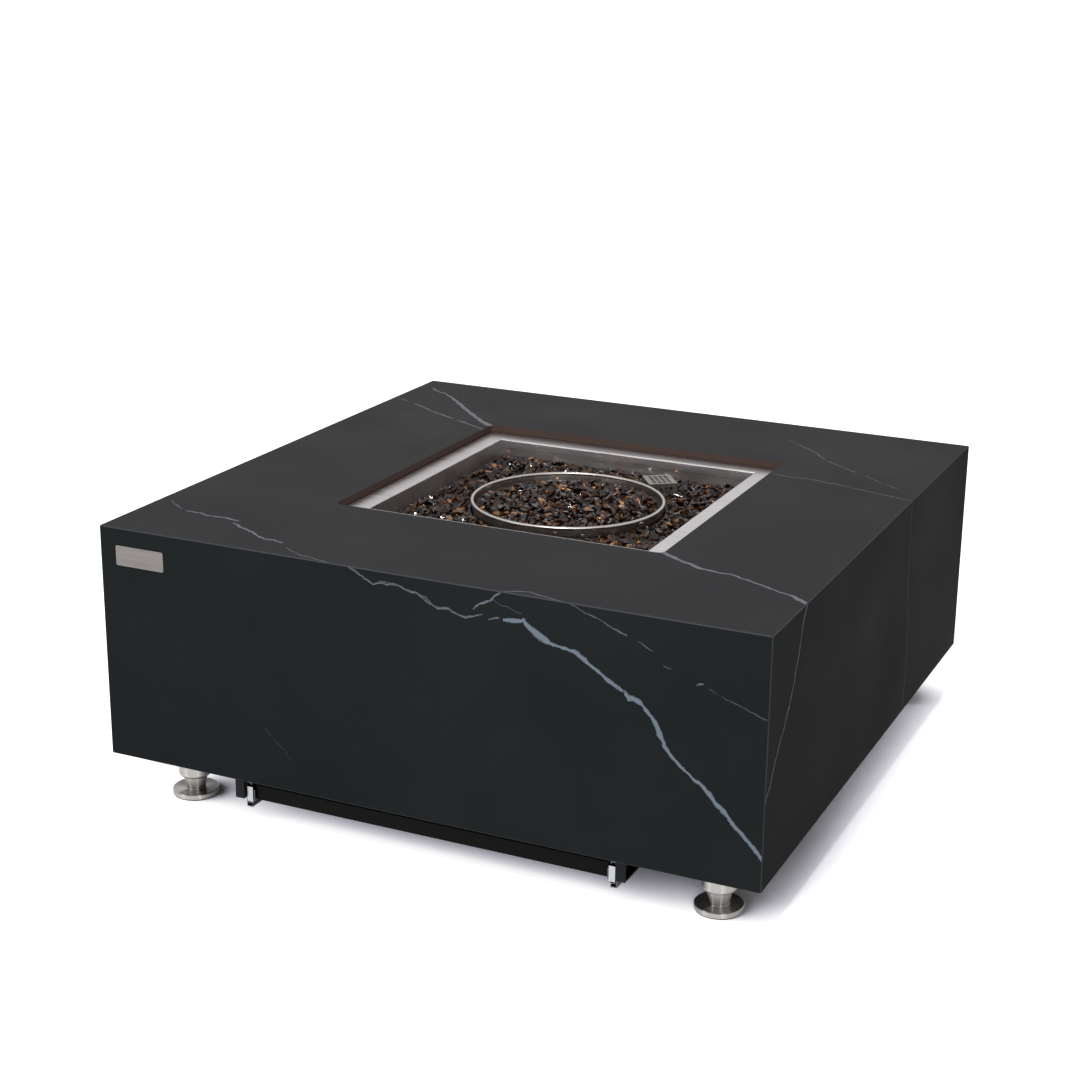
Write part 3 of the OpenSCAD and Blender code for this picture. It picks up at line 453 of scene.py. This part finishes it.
# Each vein has its colour and strength, whether it runs along the second axis of its face, how
# broken it is, and its points.
top_veins = (
    (vein_grey, 0.4, False, 0.4, ((-442, -324, 0.8), (-425, -339, 1.0), (-406, -353, 0.9))),
    (vein_grey, 0.85, False, 0.3, (
        (-397, -356, 1.2), (-374, -357, 1.5), (-358, -362, 1.3), (-332, -359, 1.6),
        (-309, -364, 1.1))),
    (vein_grey, 0.8, False, 0.32, (
        (-312, -375, 1.0), (-300, -379, 1.5), (-291, -386, 1.3), (-267, -396, 1.6),
        (-256, -405, 1.6), (-237, -414, 1.4), (-225, -412, 1.4), (-208, -417, 0.9))),
    (vein_grey, 0.45, False, 0.36, (
        (-199, -431, 0.7), (-163, -449, 1.0), (-140, -453, 0.9), (-111, -462, 0.9))),
    (vein_grey, 0.9, False, 0.3, (
        (-435, 410, 1.4), (-410, 391, 2.0), (-395, 384, 1.7), (-358, 349, 2.8),
        (-311, 299, 3.1), (-268, 256, 3.5), (-253, 243, 4.0), (-229, 227, 3.4))),
    (vein_grey, 0.6, False, 0.38, (
        (-448, 324, 1.3), (-400, 296, 1.8), (-362, 272, 1.6), (-321, 250, 1.9),
        (-265, 222, 1.7), (-231, 202, 1.5))),
    (vein_grey, 0.8, False, 0.22, (
        (231, -231, 3.4), (271, -256, 2.9), (284, -262, 2.6), (297, -271, 3.3), (305, -273, 2.0),
        (332, -278, 1.5), (343, -277, 1.5), (354, -282, 1.8), (383, -295, 1.6), (419, -313, 1.2),
        (432, -317, 1.7), (438, -321, 3.3), (448, -328, 3.7), (465, -342, 3.4))),
    (vein_grey, 0.35, False, 0.36, (
        (203, 365, 0.9), (252, 325, 1.5), (298, 273, 1.4), (337, 245, 1.4), (403, 197, 1.2),
        (426, 180, 0.8))),
    (vein_grey, 0.4, False, 0.34, (
        (235, 178, 1.2), (271, 170, 1.5), (297, 173, 1.4), (347, 163, 1.6), (389, 151, 1.3),
        (462, 132, 1.2))),
    (vein_grey, 0.6, False, 0.3, (
        (119, -463, 1.2), (132, -453, 1.0), (152, -446, 1.0), (182, -455, 0.9),
        (213, -464, 1.0))),
)
front_veins = (
    (vein_grey, 0.7, False, 0.3, (
        (-91, 395, 0.8), (-79, 390, 0.9), (-66, 384, 0.9), (-53, 377, 0.9))),
    (vein_grey, 0.8, False, 0.34, (
        (-56, 377, 0.7), (-44, 380, 0.8), (-33, 379, 1.1), (-23, 382, 0.9), (-15, 381, 0.9),
        (-8, 377, 0.8), (1, 374, 1.2), (7, 375, 0.9), (25, 364, 1.1), (35, 360, 0.9),
        (43, 362, 1.1), (51, 362, 1.1), (56, 358, 1.3), (66, 356, 1.1), (75, 355, 1.3),
        (83, 358, 0.8), (97, 362, 0.5))),
    (vein_grey, 0.5, False, 0.36, ((-46, 382, 0.5), (-33, 382, 0.7), (-22, 380, 0.5))),
    (vein_grey, 0.6, False, 0.34, (
        (7, 375, 0.5), (20, 371, 0.8), (29, 363, 0.8), (39, 361, 0.5))),
    (vein_grey, 0.8, False, 0.2, ((103, 358, 0.7), (110, 360, 1.2), (118, 362, 0.8))),
    (vein_blue, 0.95, False, 0.2, (
        (123, 360, 1.7), (135, 360, 2.3), (147, 362, 1.9), (152, 364, 1.5))),
    (vein_blue, 0.95, False, 0.2, (
        (148, 364, 1.5), (156, 357, 2.8), (164, 351, 3.9), (173, 346, 4.1), (183, 342, 2.9),
        (190, 337, 0.8))),
    (vein_blue, 0.95, False, 0.2, (
        (181, 341, 1.3), (194, 339, 1.4), (214, 336, 1.7), (222, 333, 2.3), (240, 321, 2.4),
        (259, 307, 1.9), (267, 303, 2.7), (275, 299, 2.4), (281, 295, 0.9))),
    (vein_blue, 0.95, False, 0.2, (
        (281, 296, 1.3), (286, 289, 2.9), (294, 289, 2.4), (302, 286, 2.6), (313, 273, 2.0),
        (320, 266, 2.4), (324, 258, 3.0), (332, 241, 2.6), (336, 234, 2.3), (351, 218, 1.8),
        (362, 210, 1.8), (371, 203, 2.0), (380, 198, 1.8), (387, 192, 2.8), (395, 184, 2.9),
        (405, 173, 2.4), (431, 147, 2.1), (454, 125, 2.4), (464, 116, 2.1))),
    (vein_blue, 0.75, False, 0.28, (
        (82, 366, 0.5), (93, 375, 0.9), (109, 384, 1.2), (114, 390, 1.4), (120, 394, 0.9))),
    (vein_blue, 0.5, False, 0.32, (
        (209, 395, 0.4), (226, 388, 0.6), (249, 380, 0.6), (262, 373, 0.8), (273, 369, 1.1),
        (284, 366, 0.7))),
    (vein_blue, 0.45, False, 0.28, ((297, 361, 0.4), (306, 358, 0.8), (315, 354, 0.4))),
    (vein_grey, 0.4, False, 0.26, ((329, 338, 0.4), (334, 336, 0.6), (340, 335, 0.4))),
    (vein_grey, 0.8, False, 0.2, ((371, 320, 0.6), (375, 322, 1.1), (379, 323, 0.5))),
    (vein_grey, 0.45, False, 0.46, (
        (385, 318, 0.4), (407, 309, 0.5), (418, 307, 0.5), (434, 300, 0.6), (445, 297, 0.7),
        (461, 293, 1.1))),
    (vein_grey, 0.4, False, 0.34, (
        (110, 383, 0.4), (123, 378, 0.5), (138, 373, 0.5), (148, 370, 0.4))),
    (vein_grey, 0.16, False, 0.3, ((-217, 156, 0.4), (-198, 139, 0.6), (-178, 120, 0.4))),
)
right_veins = (
    (vein_grey, 0.95, True, 0.26, (
        (182, -467, 1.3), (207, -445, 1.3), (246, -419, 1.3), (265, -400, 1.3), (288, -383, 1.4),
        (308, -371, 1.7), (322, -368, 1.4), (338, -359, 1.6), (371, -349, 1.6), (383, -343, 1.8),
        (394, -334, 2.0))),
    (vein_grey, 0.5, True, 0.32, (
        (73, 151, 0.9), (96, 156, 0.9), (132, 159, 0.9), (202, 156, 0.9),
        (227, 150, 1.0), (286, 138, 1.0), (367, 132, 1.0), (394, 136, 0.9))),
)
back_veins = (
    (vein_blue, 0.85, False, 0.32, (
        (-462, 341, 1.6), (-380, 319, 1.4), (-300, 297, 2.4), (-236, 249, 2.0), (-170, 223, 2.6),
        (-60, 199, 1.6), (30, 155, 2.2), (96, 127, 1.4), (180, 73, 1.8))),
    (vein_grey, 0.55, False, 0.4, (
        (60, 396, 0.9), (150, 349, 0.8), (262, 331, 1.0), (462, 259, 0.8))),
)
left_veins = (
    (vein_grey, 0.75, True, 0.32, (
        (73, 286, 1.0), (169, 268, 1.1), (245, 306, 1.2), (329, 298, 1.0), (397, 318, 1.1))),
    (vein_blue, 0.7, False, 0.42, (
        (-300, 397, 1.2), (-180, 309, 1.5), (-90, 271, 1.1), (40, 159, 1.3), (110, 73, 0.9))),
)
# One porcelain, in a copy for each slab whose colours and gloss are set for the light on its face:
# painted shade and sheen.
for node, name, colours, gloss, axes, veins in (
        ("top_slab", "top porcelain", ("#242426", "#2a2a2c"), 0.03, (0, 1), top_veins),
        ("front_panel", "front porcelain", ("#232728", "#292b2d"), 0.01, (0, 2), front_veins),
        ("right_panel", "right porcelain", ("#212222", "#262727"), 0.004, (1, 2), right_veins),
        ("back_panel", "back porcelain", ("#25282a", "#2b2d2f"), 0.01, (0, 2), back_veins),
        ("left_panel", "left porcelain", ("#25282a", "#2b2d2f"), 0.01, (1, 2), left_veins)):
    dress(porcelain(name, colours, gloss, axes, veins), node)


# The name plate: a small bare plate of brushed stainless with round corners, glued to the front
# panel near its upper left corner.
hair_pull = (0.012, 1.0, 1.0)
hairs_span = (0.32, 0.68)
streaks_per_hair = 0.06

brushing, given, wanted = pattern("brushing", {"Place": "Vector", "Grain": "Float"},
                                  ("Mask", "Height"))
rate = calc(brushing, "DIVIDE", 1.0, given["Grain"])
drawn_out = vector(brushing, "MULTIPLY", given["Place"], hair_pull)
hairs = noise(brushing, drawn_out, rate, 3.0)
streaks = noise(brushing, drawn_out, calc(brushing, "MULTIPLY", rate, streaks_per_hair), 2.0)
both = layered(brushing, hairs, streaks)
brushing.links.new(stretch(brushing, both, *hairs_span), wanted["Mask"])
brushing.links.new(hairs, wanted["Height"])

plate_steel = finish("plate stainless", ("#686462", "#7a7673"), (0.4, 0.5), brushing,
                     {"Grain": 0.0005}, 0.00002, metal=1.0)
dress(plate_steel, "name_plate")


# The drawer's rails and runners: folded black rails hang from the frame on zinc bolts, and
# each carries a telescopic runner of three rolled steel channels, the inner one with a bright
# stop tab, and two ball cages between.
tab_from = -0.4321
tab_blend = 0.0002
tab_bright = "#a2a4a6"
rolled = {"marks": brushing, "feeds": {"Grain": 0.0007}, "depth": 0.000004, "metal": 1.0,
          "turn": (0.0, 0.0, quarter)}
bright_zinc = finish("bright zinc", ("#b3b6b9", "#cfd1d3"), (0.2, 0.34), **rolled)
# The runner channels are coloured a dark steel grey, darker than the bright zinc.
dark_channel_steel = finish("dark channel steel", ("#484a4d", "#5c5e61"), (0.3, 0.42), **rolled)
tabbed_steel = finish("tabbed steel", ("#484a4d", "#5c5e61"), (0.24, 0.36), **rolled)
tree = tabbed_steel.node_tree
base = tree.nodes["Principled BSDF"].inputs["Base Color"]
depth = wire(tree, "SeparateXYZ", {0: wire(tree, "TexCoord").outputs["Object"]}).outputs[1]
at_tab = stretch(tree, depth, tab_from, tab_from - tab_blend)
tree.links.new(blend(tree, at_tab, base.links[0].from_socket, tone(tab_bright)), base)
rail_coat = finish("rail coat", ("#1d1e20", "#232426"), (0.45, 0.58), mottle, {"Size": 0.015},
                   0.0001, gloss=0.12)
for side in ("left", "right"):
    dress(rail_coat, f"drawer_rail_{side}")
    dress(dark_channel_steel, f"runner_outer_{side}", f"runner_middle_{side}")
    dress(tabbed_steel, f"runner_inner_{side}")
    dress(bright_zinc, f"outer_cage_{side}", f"inner_cage_{side}")
dress(bright_zinc, "rail_bolts")


# The drawer: one sheet of steel folded to a shallow tray and powder coated black, screwed
# between the inner members of the runners. A bracket in it carries the valve and the button.
screw_radius = 0.0034
screw_height = 0.0022
screw_round = 0.0012
socket_radius = 0.0015
socket_depth = 0.0012
wall_inside = 0.252
wall_screws = ((-0.395, 0.0445), (-0.275, 0.0445), (-0.155, 0.0445))
bracket_screws = ((0.1365, -0.394, 0.0382), (0.1365, -0.355, 0.0382))

drawer_coat = finish("drawer coat", ("#101110", "#161715"), (0.42, 0.55), mottle,
                     {"Size": 0.012}, 0.0001, gloss=0.05)
bracket_coat = finish("bracket coat", ("#333538", "#3b3d40"), (0.4, 0.5), mottle,
                      {"Size": 0.01}, 0.00008, gloss=0.25)
dress(drawer_coat, "control_drawer")
dress(bracket_coat, "control_bracket")


def highest(bm):
    """The face that lies highest, nearest to the middle."""
    def rise(face):
        middle = face.calc_center_median()
        return middle.z - middle.xy.length
    return max(bm.faces, key=rise)


def screw_head(bm, at, towards):
    """Adds a round head with a socket, on a surface that looks towards a side."""
    head = bmesh.new()
    lifted = Matrix.Translation((0.0, 0.0, screw_height / 2))
    bmesh.ops.create_cone(head, cap_ends=True, segments=20, radius1=screw_radius,
                          radius2=screw_radius, depth=screw_height, matrix=lifted)
    bmesh.ops.bevel(head, geom=highest(head).edges[:], affect="EDGES", offset=screw_round,
                    segments=4, profile=0.5, material=-1)
    bmesh.ops.inset_region(head, faces=[highest(head)],
                           thickness=screw_radius - screw_round - socket_radius)
    sunk = bmesh.ops.extrude_discrete_faces(head, faces=[highest(head)])["faces"][0]
    bmesh.ops.translate(head, verts=sunk.verts[:], vec=(0.0, 0.0, -socket_depth))
    turned = Vector(towards).to_track_quat("Z", "Y").to_matrix().to_4x4()
    bmesh.ops.transform(head, matrix=Matrix.Translation(at) @ turned, verts=head.verts)
    held = bpy.data.meshes.new("screw")
    head.to_mesh(held)
    head.free()
    bm.from_mesh(held)
    bpy.data.meshes.remove(held)


bm = bmesh.new()
for side in (-1.0, 1.0):
    for depth, level in wall_screws:
        screw_head(bm, (side * wall_inside, depth, level), (-side, 0.0, 0.0))
    for across, depth, level in bracket_screws:
        screw_head(bm, (side * across, depth, level), (0.0, 0.0, 1.0))
drawer_screws = piece("drawer_screws", bm, bright_zinc)
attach(drawer_screws, "drawer")


# The controls: a cast brass valve under a fluted plastic knob, a steel push switch with its
# plastic button, and the igniter's box with a battery cap that turns a quarter.
knob_middle = (-0.060, -0.356)
knob_top = 0.071
pointer_run = (0.0065, 0.0165)
pointer_half = 0.0009
pointer_rise = 0.0004
pointer_round = 0.9 * pointer_half

valve_brass = finish("valve brass", ("#b0904f", "#c7a863"), (0.26, 0.4), mottle,
                     {"Size": 0.006}, 0.00008, metal=1.0)
switch_steel = finish("switch steel", ("#a5a5a4", "#bebdbb"), (0.24, 0.36), mottle,
                      {"Size": 0.004}, 0.00002, metal=1.0)
knob_plastic = finish("knob plastic", ("#161617", "#1c1c1d"), (0.4, 0.52), mottle,
                      {"Size": 0.004}, 0.00005)
pointer_paint = finish("pointer paint", ("#d9d8d2", "#e6e5e0"), (0.4, 0.5), mottle,
                       {"Size": 0.003}, 0.00003)
dress(valve_brass, "gas_valve", "valve_nut", "valve_stem")
dress(switch_steel, "button_switch", "stem_washer")
dress(knob_plastic, "control_knob", "igniter_button", "igniter_module", "battery_cap")

bm = bmesh.new()
stand = (knob_middle[0] - sum(pointer_run) / 2, knob_middle[1], knob_top + pointer_rise / 2)
sized = Matrix.Diagonal((pointer_run[1] - pointer_run[0], 2 * pointer_half, pointer_rise, 1.0))
bmesh.ops.create_cube(bm, size=1.0, matrix=Matrix.Translation(stand) @ sized)
upright = [edge for edge in bm.edges
           if abs(edge.verts[0].co.z - edge.verts[1].co.z) > pointer_rise / 2]
bmesh.ops.bevel(bm, geom=upright, affect="EDGES", offset=pointer_round, segments=4, profile=0.5,
                material=-1)
knob_pointer = piece("knob_pointer", bm, pointer_paint)
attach(knob_pointer, "knob")


# The pan: a square box folded from brushed stainless sheet, with a flange all round that rests
# on the rails in the cut-out.
pan_steel = finish("pan stainless", ("#b0acad", "#c8c4c5"), (0.26, 0.4), brushing,
                   {"Grain": 0.0006}, 0.00003, metal=1.0)
dress(pan_steel, "burner_pan")


# The gas train: a burner ring in a spun bowl, on a brass riser that two nuts clamp to the pan.
# Below hang the air mixer, a drilled steel sleeve, and the brass orifice with its bare thread.
bowl_steel = finish("bowl stainless", ("#a39e9a", "#bcb7b2"), (0.24, 0.36), turning,
                    {"Pitch": 0.0008}, 0.00002, metal=1.0)
dress(bowl_steel, "burner_bowl", "burner_ring", "air_mixer")
dress(valve_brass, "gas_riser", "riser_nuts", "gas_orifice")


# The pilot: a bracket on the pan's floor holds a ceramic spark electrode and a thermocouple,
# under a perforated guard folded from thin stainless.
guard_steel = finish("guard stainless", ("#7b7773", "#938e8a"), (0.3, 0.42), mottle,
                     {"Size": 0.008}, 0.00003, metal=1.0)
white_glaze = finish("white glaze", ("#dcd6c8", "#e8e3d8"), (0.12, 0.2), mottle,
                     {"Size": 0.006}, 0.00002)
dress(guard_steel, "pilot_guard", "pilot_bracket")
dress(white_glaze, "spark_electrode")
dress(valve_brass, "thermocouple")


# The fire glass: tempered dark brown glass broken to chips, some with a bronze mirror coat. It
# lies loose in the pan round the bowl and in the bowl over the burner ring.
draw = random.Random(41)
chip_kinds = 36
chip_corners = (7, 8, 8, 9)
chip_slim = 0.78
chip_flat = (0.4, 0.85)
chip_half = (0.0055, 0.0105)
crumb_half = (0.0032, 0.0055)
chip_sunk = (-0.0028, 0.0022)
chip_lean = (0.6, 0.5)
coated_share = 0.22
pan_pitch = 0.0088
bowl_pitch = 0.0084
crumb_pitch = 0.0058
crumb_band = 0.011
pan_inside = 0.205
pan_top = 0.3575
bowl_outside = 0.1378
bowl_inside = 0.133
bowl_top = 0.3585
bowl_heap = 0.004
guard_middle = Vector((0.080, 0.146, 0.0))
guard_turn = math.radians(36.0)
guard_half = (0.0215, 0.0235)


def chip_finish(name, colours, rough, metal=0.0, clear=0.0, gloss=0.5):
    """Glass whose depth of brown is held by each chip's own tint."""
    made, tree, shader = substance(name)
    shader["Metallic"].default_value = metal
    shader["Transmission Weight"].default_value = clear
    shader["Specular IOR Level"].default_value = gloss
    tint = wire(tree, "Attribute", attribute_name="tint").outputs["Fac"]
    tree.links.new(blend(tree, tint, *map(tone, colours)), shader["Base Color"])
    feeds = {"Place": wire(tree, "TexCoord").outputs["Object"], "Size": 0.006}
    mask = wire(tree, "Group", feeds, node_tree=mottle).outputs["Mask"]
    surface(tree, shader, mask, rough, mask, 0.00012)
    return made


dark_glass = chip_finish("dark glass", ("#0f0a08", "#6b3d22"), (0.0, 0.05), clear=0.75,
                         gloss=0.16)
bronze_glass = chip_finish("bronze glass", ("#3a281d", "#a2754d"), (0.04, 0.12), metal=0.9)
packed_glass = finish("packed glass", ("#070605", "#120c09"), (0.3, 0.5), mottle,
                      {"Size": 0.009}, 0.002)
dress(packed_glass, "glass_bed", "bowl_glass", "glass_chips", "bowl_chips")


def chip_kind(flat):
    """One broken chip, the hull of a few points on a flattened ball, as a mesh to copy."""
    bm = bmesh.new()
    for _ in range(draw.choice(chip_corners)):
        point = Vector([draw.gauss(0.0, 1.0) for _ in range(3)]).normalized()
        bm.verts.new((point.x, chip_slim * point.y, flat * point.z))
    hull = bmesh.ops.convex_hull(bm, input=bm.verts)
    spare = [v for v in hull["geom_interior"] if isinstance(v, bmesh.types.BMVert)]
    bmesh.ops.delete(bm, geom=spare, context="VERTS")
    bmesh.ops.recalc_face_normals(bm, faces=bm.faces)
    made = bpy.data.meshes.new("chip")
    bm.to_mesh(made)
    bm.free()
    return made


kinds = [chip_kind(draw.uniform(*chip_flat)) for _ in range(chip_kinds)]


def lay_chip(bm, tint, at, half):
    """Adds one chip, leant and turned by chance, with a tint of its own."""
    lean = Matrix.Rotation(draw.gauss(0.0, chip_lean[0]), 3, "X")
    lean = lean @ Matrix.Rotation(draw.gauss(0.0, chip_lean[1]), 3, "Y")
    spun = Matrix.Rotation(draw.uniform(0.0, math.tau), 3, "Z") @ lean
    before = len(bm.faces)
    bm.from_mesh(draw.choice(kinds))
    bm.faces.ensure_lookup_table()
    fresh = bm.faces[before:]
    corners = list({v for face in fresh for v in face.verts})
    laid = Matrix.Translation(at) @ (spun * half).to_4x4()
    bmesh.ops.transform(bm, matrix=laid, verts=corners)
    depth = draw.random() ** 2
    coated = draw.random() < coated_share
    for face in fresh:
        face[tint] = depth
        face.material_index = int(coated)


def chips(name, passes):
    """Layers of chips, one near each point of a close grid where it fits."""
    bm = bmesh.new()
    tint = bm.faces.layers.float.new("tint")
    for pitch, sizes, level, fits in passes:
        steps = int(pan_inside / pitch)
        for i in range(-steps, steps + 1):
            for j in range(-steps, steps + 1):
                aside = [step + draw.uniform(-0.5, 0.5) for step in (i, j)]
                at = Vector((*aside, 0.0)) * pitch
                half = draw.triangular(*sizes, sizes[0])
                if fits(at, half):
                    at.z = level(at) + draw.uniform(*chip_sunk)
                    lay_chip(bm, tint, at, half)
    return piece(name, bm, dark_glass, bronze_glass)


def from_walls(at):
    """How far a point of the pan lies from its walls, the bowl and the pilot's guard."""
    turned = Matrix.Rotation(-guard_turn, 3, "Z") @ (at - guard_middle)
    beside = max(abs(turned.x) - guard_half[0], abs(turned.y) - guard_half[1])
    return min(pan_inside - max(abs(at.x), abs(at.y)), at.length - bowl_outside, beside)


def pan_level(at):
    """The glass lies level in the pan."""
    return pan_top


def bowl_level(at):
    """The glass is heaped towards the middle of the bowl."""
    return bowl_top + bowl_heap * max(0.0, 1.0 - (at.length / bowl_inside) ** 2)


pan_chips = chips("pan_chips", (
    (pan_pitch, chip_half, pan_level, lambda at, half: from_walls(at) > half),
    (crumb_pitch, crumb_half, pan_level, lambda at, half: half < from_walls(at) < crumb_band)))
bowl_layer = chips("bowl_layer", (
    (bowl_pitch, chip_half, bowl_level, lambda at, half: at.length < bowl_inside - half),
    (crumb_pitch, crumb_half, bowl_level,
     lambda at, half: crumb_band > bowl_inside - at.length > half)))
for layer, node in ((pan_chips, "glass_chips"), (bowl_layer, "bowl_chips")):
    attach(layer, "table")
    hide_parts(node)
